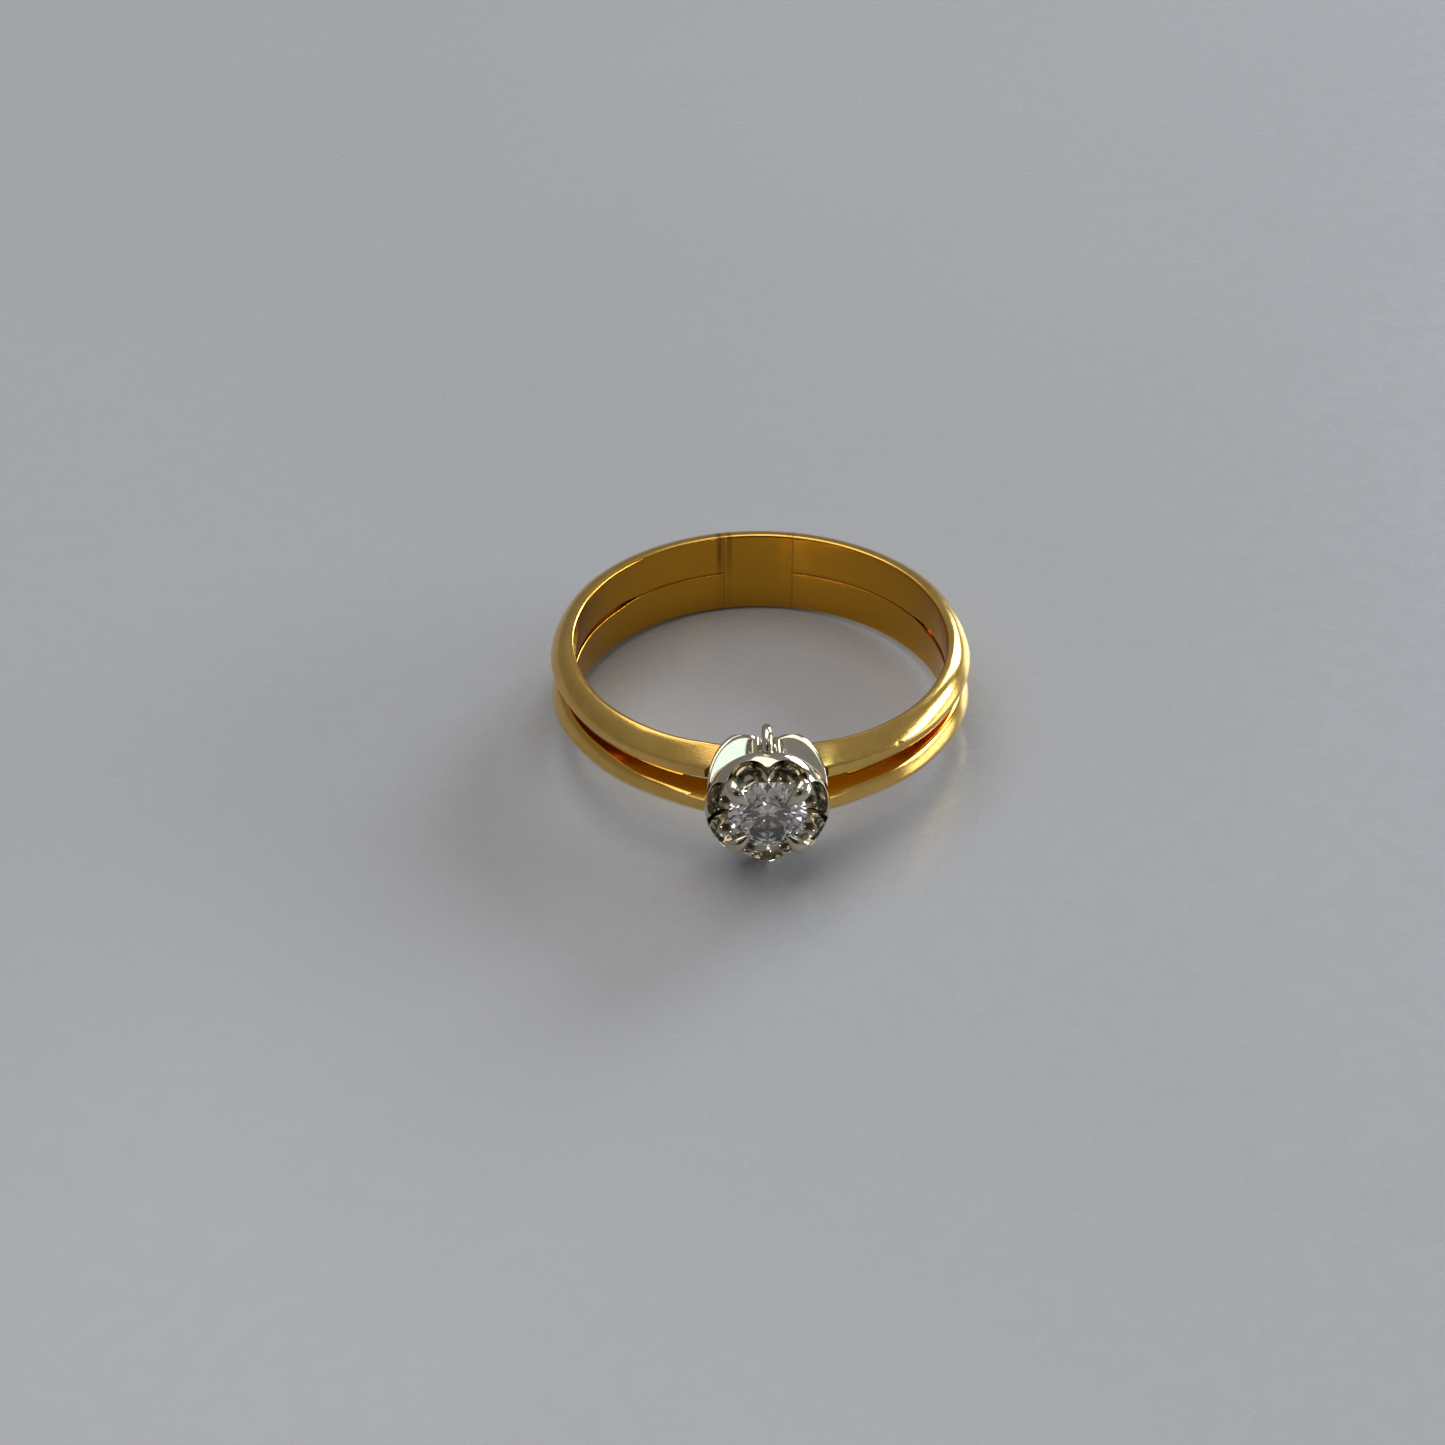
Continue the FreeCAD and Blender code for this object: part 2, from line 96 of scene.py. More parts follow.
# Each lobe is a round petal whose flat face rises outwards and falls away from the middle plane.
petal_x = 1.15             # its centre
petal_y = 1.0
petal_height = 10.0
petal_radius = 1.44
petal_rise = 0.3           # per millimetre along x
petal_fall = 1.0           # per millimetre along y
petal_root = 1.32          # the faces start this far from the head's axis
petal_root_flat = 0.08     # beyond a flat ring of floor this wide
petal_root_width = 0.25    # and rise from the cup's floor over this width
petal_bowl_gap = 0.08      # and stay this far under the bowl
petal_edge = 0.07
petal_clearance = 0.02     # their edges stay this far outside the finger hole
collet_top = 10.76
collet_foot_radius = 1.2
collet_head_radius = 1.5
collet_foot_bore = 0.88
collet_head_bore = 1.24
collet_rim_round = 0.03
seat_gap = 0.01            # under the stone's pavilion
bowl_radius = 2.72
bowl_wide_height = 10.26
bowl_wall_foot = 9.86
bowl_rim_radius = 2.54
bowl_rim_height = 11.02
bowl_under_height = 9.5
bowl_foot_radius = 2.46
bowl_swell = 2.7           # how soon the wall reaches its full width
bowl_rim_round = 0.04
rim_roll_radius = 0.14     # the rim is rolled: a round bead that the scoops stop against
rim_roll_distance = 2.58
rim_roll_height = 10.31
scoop_count = 8
scoop_radius = 0.98
scoop_offset = 1.95
scoop_height = 11.2
stone_radius = 1.72
girdle_height = 10.96
girdle_thickness = 0.08
crown_angle = 34.5
pavilion_angle = 40.75
table_share = 0.57
star_share = 0.5
lower_half_share = 0.78
main_facets = 8
claw_words = ("upper_right", "upper_left", "lower_left", "lower_right")
claw_line = [(2.2, 10.56), (2.26, 11.0), (2.1, 11.33), (1.74, 11.44), (1.28, 11.4)]
claw_widths = [0.58, 0.7, 0.76, 0.66, 0.3]
claw_thicknesses = [0.34, 0.46, 0.5, 0.44, 0.26]
claw_tip_angle = 88.0      # the tips are round up to this angle
claw_gap = 0.004           # the claws lie this close over the crown
loop_wire_radius = 0.24
loop_reach = 3.25
loop_low = 8.8
loop_top = (2.2, 9.9)
loop_foot = 1.96
post_wire_radius = 0.2
post_offset = 0.46
post_distance = 2.1
post_sink = 0.04           # how far the posts go into the petals
post_rise = 0.03           # and into the bowl

# ---- Fineness of the meshes -----------------------------------------------------------------------------
shank_step = 0.6           # degrees between a rail's sections
head_steps = 360           # columns round the head
arc_steps = 6              # points on a softened corner
dome_steps = 20            # points from a rail's crest to either side
flat_steps = 12            # points across a rail's flat
petal_steps = 30
scoop_steps = 44
wall_steps = 26
claw_steps = 44
claw_tip_steps = 8
wire_columns = 28
loop_steps = 48
loop_straight_steps = 7
post_steps = 16
girdle_splits = 4          # edges of the girdle for each half facet

# ---- Metals and stone -----------------------------------------------------------------------------------
# Texture scales are in features per millimetre.
buffing_scale = 9.0
buffing_stretch = (0.12, 3.2)   # along the shank and across it
hair_scale = 26.0
hair_stretch = (0.4, 0.7)
cloud_scale = 0.9
speck_scale = 42.0
wave_scale = 1.6
bump_height = 0.006
groove_shade_offsets = (0.25, 0.75)      # painted shade between the rails fades out between these offsets
groove_shade_heights = (0.5, 0.95)       # and between these heights over the finger hole
# Dark stains beside the sizing piece's joints: the angle from the shank's back, and the strength.
gold_stains = [(-11.8, 0.6), (-8.6, 0.4), (10.4, 0.12)]
stain_core = 0.1
stain_width = 1.5
stain_fade = (-0.6, 1.2)        # offsets between which a stain grows from faint to full
stain_colour = (0.12, 0.055, 0.01, 1)
speck_colour = (0.02, 0.015, 0.01, 1)
stone_tones = ((1.0, 0.975, 0.955, 1), (1.0, 0.950, 0.925, 1))
stone_cloud_scale = 1.1
stone_index = 2.417
stone_bounces = 24              # light turns many times inside the stone

# ---- Surroundings, in metres ----------------------------------------------------------------------------
floor_half = 1.5
floor_tones = ((0.40, 0.398, 0.405, 1), (0.42, 0.418, 0.425, 1))
floor_cloud_scale = 14.0
floor_grain_scale = 900.0
floor_roughness = (0.24, 0.3)
floor_bump_strength = 0.08
floor_bump_height = 0.00002
wall_colour = (0.26, 0.26, 0.262, 1)
dim_colour = (0.05, 0.033, 0.02, 1)
ceiling_colour = (0.34, 0.345, 0.36, 1)
ceiling_start = (0.25, 0.75)    # how steeply a direction rises where the wall turns into the ceiling
# The dim figure in front fades out between these shares of a direction: sideways, backwards and upwards.
dim_side = (0.15, 0.7)
dim_back = (-0.65, -0.15)
dim_top = (0.4, 0.8)
# The lights: place, size, power in watts and colour. They all face the ring.
lights = {
    "window": ((0.42, 0.5, 0.30), (0.30, 0.26), 3.4, (0.78, 0.90, 1.0)),
    "side_window": ((0.62, 0.06, 0.14), (0.42, 0.12), 1.9, (0.88, 0.95, 1.0)),
    "front_panel": ((0.255, -0.292, 0.454), (0.15, 0.13), 0.1, (0.72, 0.93, 1.0)),
    "ceiling": ((-0.1, 0.06, 0.6), (0.7, 0.6), 2.0, (1.0, 0.98, 0.96)),
    "left_spark": ((-0.24, -0.42, 0.30), (0.03, 0.02), 0.03, (1.0, 0.95, 0.92)),
    "low_spark": ((0.20, -0.50, 0.10), (0.03, 0.02), 0.03, (1.0, 0.96, 0.92)),
}
picture_gamma = 0.9

# ---- Camera, which looks down on the ring from the head's side ------------------------------------------
camera_azimuth = -1.8
camera_elevation = 34.2
camera_roll = -0.4
camera_distance = 0.15
camera_lens = 81.47
camera_sensor = 36.0
camera_shift = (-0.0264, -0.0356)
camera_clip = (0.01, 10.0)


# ---- Small mathematics ----------------------------------------------------------------------------------
def smooth(share):
    """0 to 1 with a smooth start and end, and no change outside that."""
    kept = np.clip(share, 0.0, 1.0)
    return kept * kept * (3 - 2 * kept)


def mix(first, second, share):
    return first + (second - first) * share


def along(values, angle):
    """A section value at each angle: it changes smoothly from each station to the next."""
    found = values[0]
    for place in range(1, len(stations)):
        share = (angle - stations[place - 1]) / (stations[place] - stations[place - 1])
        found = mix(found, values[place], smooth(share))
    return found


def crossing(inside, low, high):
    """Where inside(value) turns from true to false between low and high, for arrays of values."""
    for _ in range(30):
        middle = (low + high) / 2
        held = inside(middle)
        low = np.where(held, middle, low)
        high = np.where(held, high, middle)
    return high


# ---- Meshes ---------------------------------------------------------------------------------------------
def make_piece(name, points, faces, material, crease=38.0):
    """A mesh object, from points in millimetres, that stands for the CAD node of its name.

    Edges that turn by more than crease degrees stay sharp.
    """
    mesh = bpy.data.meshes.new(name)
    mesh.from_pydata([tuple(point) for point in np.asarray(points) * MM], [], faces)
    work = bmesh.new()
    work.from_mesh(mesh)
    bmesh.ops.recalc_face_normals(work, faces=work.faces)
    work.to_mesh(mesh)
    work.free()
    mesh.shade_smooth()
    mesh.set_sharp_from_angle(angle=radians(crease))
    mesh.materials.append(material)
    node = frame["nodes"][name]
    node.name = "cad_" + name
    piece = bpy.data.objects.new(name, mesh)
    bpy.context.scene.collection.objects.link(piece)
    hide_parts(name)
    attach(piece, "root")
    return piece


def strip_faces(rows, columns, first=0, ring=False):
    """Quads of a grid whose columns close on themselves. With ring its rows do too, and else it has caps."""

    def place(row, column):
        return first + (row % rows) * columns + column % columns

    faces = []
    for row in range(rows if ring else rows - 1):
        for column in range(columns):
            near = (place(row, column), place(row, column + 1))
            far = (place(row + 1, column + 1), place(row + 1, column))
            faces.append(near + far)
    if not ring:
        faces.append(tuple(place(0, column) for column in range(columns)))
        faces.append(tuple(place(rows - 1, column) for column in range(columns)))
    return faces


def bend(start, corner, end, share):
    """A place on the curve that rounds a corner, from start to end."""
    return start * (1 - share) ** 2 + corner * 2 * share * (1 - share) + end * share**2


def toward(way, radius):
    """A step of this radius along a side of an outline, or of under half the side if that is less."""
    length = np.linalg.norm(way)
    return way / length * min(radius, length * 0.45)


def softened(corners, radii):
    """An outline with each corner turned into a small curve, and the corners of radius 0 kept."""
    corners = np.asarray(corners, float)
    before, after = np.roll(corners, 1, axis=0), np.roll(corners, -1, axis=0)
    shares = np.linspace(0, 1, arc_steps)
    made = []
    for place, radius in enumerate(radii):
        corner = corners[place]
        if radius == 0:
            made.append(corner)
            continue
        start, end = (corner + toward(other - corner, radius) for other in (before[place], after[place]))
        for share in shares:
            made.append(bend(start, corner, end, share))
    return np.array(made)


def on_head(x, y, height):
    """Head coordinates as points of the row frame."""
    return np.stack([x, -height, y], axis=-1)


def turned_rows(profiles):
    """Rows of points round the head's axis, from (rows, columns, 2) radius and height."""
    turn = np.radians(np.arange(len(profiles)) * 360.0 / len(profiles))[:, None]
    radius, height = profiles[..., 0], profiles[..., 1]
    return on_head(radius * np.cos(turn), radius * np.sin(turn), height)


# ---- Shank: the rails -----------------------------------------------------------------------------------
def gap_half(angle, slit_start):
    """Half the space between the rails at the finger hole."""
    return mix(seam_half, slit_half, smooth((slit_start - angle) / slit_opening_angle))


def arch(place, roof):
    """Height share from the crest, 0, to the edge, 1: a quarter ellipse that turns into a roof."""
    dome = np.sqrt(np.maximum(0.0, 1 - place * place))
    fall = sqrt(1 + ridge_round**2) - ridge_round
    peak = 1 - (np.sqrt(place**2 + ridge_round**2) - ridge_round) / fall
    return mix(dome, peak, roof)


def rail_columns():
    """The parts of a rail's section, in order round it, each with its places as shares."""
    turns = np.sin(np.radians(np.linspace(0, 90, dome_steps)))
    corner = np.radians(np.linspace(0, 90, arc_steps))
    return [
        ("slit_corner", corner[::-1]),
        ("wall", np.linspace(0, 1, arc_steps)[1:-1]),
        ("inner_side", turns[::-1]),
        ("outer_side", turns[1:]),
        ("edge", corner[1:]),
        ("bore", np.linspace(0, 1, flat_steps)[1:-1]),
    ]


def section_part(kind, place, angle, slit_start):
    """Height and offset of one part of the upper rail's section, at arrays of angles."""
    gap = gap_half(angle, slit_start)
    lean, valley = along(groove_open, angle), along(groove_height, angle)
    outer, crest = along(edge_offset, angle), along(crest_offset, angle)
    top, roof = along(crest_height, angle), along(roof_share, angle)
    still = 0 * angle
    if kind == "slit_corner":
        return slit_corner * (1 - np.sin(place)) + still, gap + slit_corner * (1 - np.cos(place))
    if kind == "wall":
        rise = mix(slit_corner, valley, place)
        return rise, gap + lean * rise / valley
    if kind == "inner_side":
        return valley + (top - valley) * arch(place, roof), crest - (crest - gap - lean) * place
    if kind == "outer_side":
        return edge_height + (top - edge_height) * arch(place, roof), crest + (outer - crest) * place
    if kind == "edge":
        return edge_bevel * (1 - np.sin(place)) + still, outer - edge_bevel * (1 - np.cos(place))
    return still, mix(outer - edge_bevel, gap + slit_corner, place)


def rail_section(angle, slit_start):
    """The upper rail's section: heights over the finger hole and offsets, with a column per point."""
    heights, offsets = [], []
    column = 0
    for kind, places in rail_columns():
        for place in places:
            height, offset = section_part(kind, place, angle[:, column], slit_start)
            heights.append(height)
            offsets.append(offset)
            column += 1
    return np.stack(heights, axis=-1), np.stack(offsets, axis=-1)


def sizing_angle():
    """Half the angle that the sizing piece takes up."""
    return degrees(sizing_length / finger_radius) / 2


def joint_angle(side):
    """Where the rails of one side end at the back."""
    return 180 - sizing_angle() - side * sizing_offset_angle - degrees(joint_film / finger_radius)


def in_cup(angle, slit_start):
    """True where a point of the rail's section lies in the space that the cup takes."""
    height, offset = rail_section(angle, slit_start)
    radius = finger_radius + height
    up, aside = radius * np.cos(np.radians(angle)), radius * np.sin(np.radians(angle))
    distance = np.hypot(aside, offset)
    under = cup_side_top + (distance - cup_floor_radius) * cup_under_slope
    return (distance < cup_floor_radius) | (up > under)


def rail(word, half_side, material):
    """One rail, from the cup to the sizing piece. Its head end follows the cup's side and underside."""
    side = 1 if word == "right" else -1
    slit_start = slit_starts[word]
    columns = sum(len(places) for _, places in rail_columns())
    low, high = (np.full((1, columns), angle) for angle in head_end_range)
    start = crossing(lambda angle: in_cup(angle, slit_start), low, high)
    end = joint_angle(side)
    rows = int((end - start.mean()) / shank_step)
    angle = mix(start, end, np.linspace(0, 1, rows)[:, None])
    height, offset = rail_section(angle, slit_start)
    half = "upper" if half_side > 0 else "lower"
    for nick in nicks.get(f"{half}_{word}", []):
        ahead, aside = (angle - nick) / nick_width, (offset - along(crest_offset, angle)) / nick_reach
        height = height - nick_depth * np.exp(-(ahead**2) - aside**2)
    radius = finger_radius + height
    turn = np.radians(angle)
    points = np.stack([side * radius * np.sin(turn), -radius * np.cos(turn), half_side * offset], axis=-1)
    name = f"rail_{half}_{word}"
    return make_piece(name, points.reshape(-1, 3), strip_faces(rows, columns), material)


def back_piece(name, start, end, sink, material):
    """A stretch of the back, both rails wide, between two angles counted towards +X."""
    kinds = np.concatenate([[kind] * len(places) for kind, places in rail_columns()])
    height, offset = rail_section(np.full((1, len(kinds)), 180.0), 0.0)
    shown = ~np.isin(kinds, ["slit_corner", "wall"])
    height, offset = height[0, shown], offset[0, shown]
    height = height + np.where(kinds[shown] == "bore", sink, -sink)
    height = np.concatenate([height, height[::-1]])
    offset = np.concatenate([offset, -offset[::-1]])
    rows = max(3, int((end - start) / shank_step))
    turn = np.radians(np.linspace(start, end, rows))[:, None]
    radius = finger_radius + height
    points = np.stack([radius * np.sin(turn), -radius * np.cos(turn), offset + 0 * turn], axis=-1)
    return make_piece(name, points.reshape(-1, 3), strip_faces(rows, len(radius)), material)


# ---- Head: cup, collet and bowl -------------------------------------------------------------------------
def petal_reach(turn):
    """How far the petals' outline reaches from the head's axis, in each direction."""
    found = np.zeros_like(turn)
    for x in (-petal_x, petal_x):
        for y in (-petal_y, petal_y):
            ahead = x * np.cos(turn) + y * np.sin(turn)
            across = x * np.sin(turn) - y * np.cos(turn)
            half = np.sqrt(np.maximum(0.0, petal_radius**2 - across**2))
            found = np.maximum(found, np.where(abs(across) < petal_radius, ahead + half, 0.0))
    return found


def petal_plane(x, y):
    """Height of the petals' flat faces."""
    return petal_height + petal_rise * (abs(x) - petal_x) - petal_fall * (abs(y) - petal_y)


def under_bowl(radius):
    """Height of the bowl's coned underside, less a gap. Beyond the bowl it is out of the petals' way."""
    share = (radius - collet_foot_radius) / (bowl_foot_radius - collet_foot_radius)
    return mix(bowl_under_height, bowl_wall_foot, share) - petal_bowl_gap + np.maximum(0, share - 1) * 2


def level(radius, height):
    """One line of a turned profile round the head. Either value may differ from column to column."""
    return np.stack(np.broadcast_arrays(radius, height), axis=-1)


def round_head():
    """The angles of the columns round the head."""
    return np.radians(np.arange(head_steps) * 360.0 / head_steps)


def cup(material):
    """The cup: a thick floor that closes the shank, with four tilted petals that flare out from it."""
    turn = round_head()
    reach = petal_reach(turn)

    def face_at(radius):
        plane = petal_plane(radius * np.cos(turn), radius * np.sin(turn))
        return np.minimum(plane, under_bowl(radius))

    def top_at(radius):
        face = face_at(radius)
        floor = np.where(radius < cup_floor_radius - petal_edge, cup_floor_top, 0.0)
        return np.maximum(face, floor)

    def bore_at(radius):
        return np.sqrt(finger_radius**2 - (radius * np.cos(turn)) ** 2)

    side = np.minimum(cup_floor_radius, reach - petal_edge / 2)
    line = [level(light_hole_radius, bore_at(light_hole_radius) + finger_ease)]
    line.append(level(light_hole_radius, cup_floor_top - light_hole_bevel + 0 * turn))
    line.append(level(light_hole_radius + light_hole_bevel, cup_floor_top + 0 * turn))
    line.append(level(petal_root - petal_root_flat, cup_floor_top + 0 * turn))
    for share in np.linspace(0, 1, petal_steps):
        radius = mix(petal_root, reach - petal_edge, share)
        rise = smooth((radius - petal_root) / petal_root_width)
        line.append(level(radius, mix(cup_floor_top, top_at(radius), rise)))
    top = face_at(reach)
    under = np.maximum(top - petal_thickness, bore_at(reach) + petal_clearance)
    for angle in np.radians(np.linspace(60, 0, 4)):
        line.append(level(reach - petal_edge * (1 - np.cos(angle)), top - petal_edge * (1 - np.sin(angle))))
    line.append(level(reach, mix(top, under, 0.5)))
    ease = petal_edge * 0.6
    for angle in np.radians(np.linspace(0, 90, 4)):
        line.append(level(reach - ease * (1 - np.cos(angle)), under + ease * (1 - np.sin(angle))))
    foot = np.minimum(cup_side_top, under)
    for share in np.linspace(0.15, 1, 6):
        radius = mix(reach - petal_edge, side, share)
        face = face_at(radius) - petal_thickness
        line.append(level(radius, np.maximum(mix(under, face, smooth(share * 3)), foot)))
    for share in (0.35, 0.7):
        line.append(level(side, mix(foot, bore_at(side), share)))
    for share in np.linspace(0, 1, 10)[:-1]:
        radius = mix(side, light_hole_radius + finger_ease, share)
        line.append(level(radius, bore_at(radius)))
    profiles = np.stack(line, axis=1)
    points = turned_rows(profiles)
    faces = strip_faces(head_steps, profiles.shape[1], ring=True)
    return make_piece("base_cup", points.reshape(-1, 3), faces, material, crease=30.0)


def revolved(name, corners, radii, material):
    """A piece of revolution about the head's axis, from softened corners."""
    profile = softened(corners, radii)
    profiles = np.repeat(profile[None], head_steps // 2, axis=0)
    points = turned_rows(profiles)
    faces = strip_faces(len(profiles), profiles.shape[1], ring=True)
    return make_piece(name, points.reshape(-1, 3), faces, material)


def collet(material):
    """The tube that carries the stone. Its seat is cut at the pavilion's angle."""
    slope = tan(radians(pavilion_angle))
    seat_in = girdle_height - (stone_radius - collet_head_bore) * slope
    seat_out = girdle_height - (stone_radius - collet_head_radius) * slope
    corners = [
        (collet_foot_bore, cup_floor_top),
        (collet_foot_radius, cup_floor_top),
        (collet_head_radius, seat_out - seat_gap),
        (collet_head_bore, seat_in - seat_gap),
    ]
    return revolved("collet", corners, [0, 0, collet_rim_round, collet_rim_round], material)


def scooped(radius, turn):
    """Height of the bowl's face: the rim's flat, or the lowest scoop over that place."""
    found = np.full(np.broadcast(radius, turn).shape, bowl_rim_height)
    for index in range(scoop_count):
        centre = radians((index + 0.5) * 360 / scoop_count)
        away = radius**2 + scoop_offset**2 - 2 * radius * scoop_offset * np.cos(turn - centre)
        depth = scoop_height - np.sqrt(np.maximum(0.0, scoop_radius**2 - away))
        found = np.where(away < scoop_radius**2, np.minimum(found, depth), found)
    aside = np.minimum(abs(radius - rim_roll_distance), rim_roll_radius)
    bead = rim_roll_height + np.sqrt(rim_roll_radius**2 - aside**2)
    return np.maximum(found, np.where(aside < rim_roll_radius, bead, 0.0))


def wall_radius(height):
    """Radius of the bowl's outer wall: it swells from its foot and leans in to the rim."""
    low = np.clip((height - bowl_wall_foot) / (bowl_wide_height - bowl_wall_foot), 0, 1)
    high = np.clip((height - bowl_wide_height) / (bowl_rim_height - bowl_wide_height), 0, 1)
    swell = bowl_foot_radius + (bowl_radius - bowl_foot_radius) * (1 - (1 - low) ** bowl_swell)
    return swell - (bowl_radius - bowl_rim_radius) * high**2


def bore_radius(height):
    """Radius of the bowl's bore, where the collet stands."""
    share = (height - cup_floor_top) / (collet_top - cup_floor_top)
    return mix(collet_foot_radius, collet_head_radius, share)


def bowl(material):
    """The illusion bowl: eight bright-cut scoops round the stone, a swelling wall and a coned underside."""
    turn = round_head()
    low, high = np.full_like(turn, bowl_under_height), np.full_like(turn, bowl_rim_height)
    inner = crossing(lambda height: height < scooped(bore_radius(height), turn), low, high)
    low = np.full_like(turn, bowl_wall_foot)
    outer = crossing(lambda height: height < scooped(wall_radius(height), turn), low, high)
    first, last = bore_radius(inner), wall_radius(outer)

    middle = mix(bowl_under_height, inner, 0.5)
    line = [level(bore_radius(bowl_under_height), bowl_under_height + 0 * turn)]
    line.append(level(bore_radius(middle), middle))
    for share in np.linspace(0, 1, scoop_steps):
        radius = mix(first, last - bowl_rim_round, share)
        line.append(level(radius, scooped(radius, turn)))
    below = outer - bowl_rim_round
    start, corner, end = line[-1], level(last, outer), level(wall_radius(below), below)
    for share in np.linspace(0, 1, arc_steps)[1:]:
        line.append(bend(start, corner, end, share))
    for share in np.linspace(0, 1, wall_steps)[1:]:
        height = mix(below, bowl_wall_foot, share)
        line.append(level(wall_radius(height), height))
    for share in (0.08, 0.5):
        radius = mix(bowl_foot_radius, bore_radius(bowl_under_height), share)
        line.append(level(radius, mix(bowl_wall_foot, bowl_under_height, share) + 0 * turn))
    profiles = np.stack(line, axis=1)
    points = turned_rows(profiles)
    faces = strip_faces(head_steps, profiles.shape[1], ring=True)
    return make_piece("illusion_bowl", points.reshape(-1, 3), faces, material, crease=24.0)


# ---- Head: claws and wires ------------------------------------------------------------------------------
def through(values, steps):
    """A smooth line through the given values, which may be numbers or points."""
    values = np.asarray(values, float)
    values = values.reshape(len(values), -1)
    padded = np.concatenate([2 * values[:1] - values[1:2], values, 2 * values[-1:] - values[-2:-1]])
    made = []
    for place in np.linspace(0, len(values) - 1, steps):
        index = min(int(place), len(values) - 2)
        t = place - index
        a, b, c, d = padded[index : index + 4]
        square, cube = 2 * a - 5 * b + 4 * c - d, 3 * b - a - 3 * c + d
        made.append(0.5 * (2 * b + (c - a) * t + square * t**2 + cube * t**3))
    return np.array(made)


def swept(spine, across, half_widths, half_heights):
    """Rows of ellipses along a spine in one plane. across is square to that plane."""
    forward = np.gradient(spine, axis=0)
    forward /= np.linalg.norm(forward, axis=1, keepdims=True)
    side = np.cross(across, forward)
    turn = np.radians(np.arange(wire_columns) * 360.0 / wire_columns)
    wide = half_widths[:, None, None] * np.cos(turn)[None, :, None] * across
    thick = half_heights[:, None, None] * np.sin(turn)[None, :, None] * side[:, None, :]
    return spine[:, None, :] + wide + thick


def claw(index, word, material):
    """One claw: it stands on a ridge of the bowl, rises past the girdle and ends on the crown."""
    turn = radians((index + 0.5) * 360 / len(claw_words))
    out, across = np.array([cos(turn), sin(turn), 0]), np.array([-sin(turn), cos(turn), 0])
    line = through(claw_line, claw_steps)
    widths = through(claw_widths, claw_steps)[:, 0] / 2
    heights = through(claw_thicknesses, claw_steps)[:, 0] / 2
    onward = line[-1] - line[-2]
    onward /= np.linalg.norm(onward)
    tip = np.radians(np.linspace(0, claw_tip_angle, claw_tip_steps)[1:])
    line = np.concatenate([line, line[-1] + onward * heights[-1] * np.sin(tip)[:, None]])
    widths = np.concatenate([widths, widths[-1] * np.cos(tip)])
    heights = np.concatenate([heights, heights[-1] * np.cos(tip)])
    spine = out * line[:, :1] + np.array([0, 0, 1.0]) * line[:, 1:]
    rows = swept(spine, across, widths, heights)
    radius = np.hypot(rows[..., 0], rows[..., 1])
    inward = stone_radius - np.clip(radius, stone_radius * table_share, stone_radius)
    crown = girdle_height + girdle_thickness + inward * tan(radians(crown_angle))
    over = radius < stone_radius + claw_gap
    rows[..., 2] = np.where(over, np.maximum(rows[..., 2], crown + claw_gap), rows[..., 2])
    points = on_head(rows[..., 0], rows[..., 1], rows[..., 2])
    faces = strip_faces(*points.shape[:2])
    return make_piece(f"claw_{word}", points.reshape(-1, 3), faces, material, crease=50.0)


def arc_points(first, middle, last, steps):
    """Points on the circle through three points of a plane."""
    (ax, ay), (bx, by), (cx, cy) = first, middle, last
    twice = 2 * (ax * (by - cy) + bx * (cy - ay) + cx * (ay - by))
    squares = [x * x + y * y for x, y in (first, middle, last)]
    x = (squares[0] * (by - cy) + squares[1] * (cy - ay) + squares[2] * (ay - by)) / twice
    y = (squares[0] * (cx - bx) + squares[1] * (ax - cx) + squares[2] * (bx - ax)) / twice
    turns = np.unwrap([np.arctan2(py - y, px - x) for px, py in (first, middle, last)])
    turn = np.linspace(turns[0], turns[2], steps)
    radius = np.hypot(ax - x, ay - y)
    return np.stack([x + radius * np.cos(turn), y + radius * np.sin(turn)], axis=-1)


def wire(x, line, radius):
    """Rows of a round wire whose middle follows (distance, height) points in the plane at x."""
    spine = np.stack([np.full(len(line), x), line[:, 0], line[:, 1]], axis=-1)
    return swept(spine, np.array([1.0, 0, 0]), np.full(len(line), radius), np.full(len(line), radius))


def gallery(word, side, material):
    """The loop, which bows out and runs straight back into the cup, and the two posts beside it."""
    # The line is an arc from the loop's top to its lowest point, level there, and then straight.
    out, down = loop_reach - loop_top[0], loop_top[1] - loop_low
    radius = out + down - sqrt(2 * out * down)
    belly, lowest = (loop_reach, loop_low + radius), (loop_reach - radius, loop_low)
    inward = np.linspace(lowest[0], loop_foot, loop_straight_steps + 1)[1:]
    straight = np.stack([inward, np.full(loop_straight_steps, loop_low)], axis=-1)
    line = np.concatenate([arc_points(loop_top, belly, lowest, loop_steps), straight])
    line[:, 0] *= side
    rows = wire(0.0, line, loop_wire_radius)
    points = on_head(rows[..., 0], rows[..., 1], rows[..., 2]).reshape(-1, 3)
    make_piece(f"gallery_loop_{word}", points, strip_faces(*rows.shape[:2]), material)

    both, faces = [], []
    for x in (-post_offset, post_offset):
        shares = np.linspace(0, 1, post_steps)
        line = np.stack([np.full(post_steps, side * post_distance), shares], axis=-1)
        rows = wire(x, line, post_wire_radius)
        foot = petal_plane(rows[..., 0], rows[..., 1]) - post_sink
        height = mix(foot, bowl_wall_foot + post_rise, rows[..., 2])
        faces += strip_faces(*height.shape, first=len(both) * height.size)
        both.append(on_head(rows[..., 0], rows[..., 1], height).reshape(-1, 3))
    make_piece(f"gallery_posts_{word}", np.concatenate(both), faces, material)


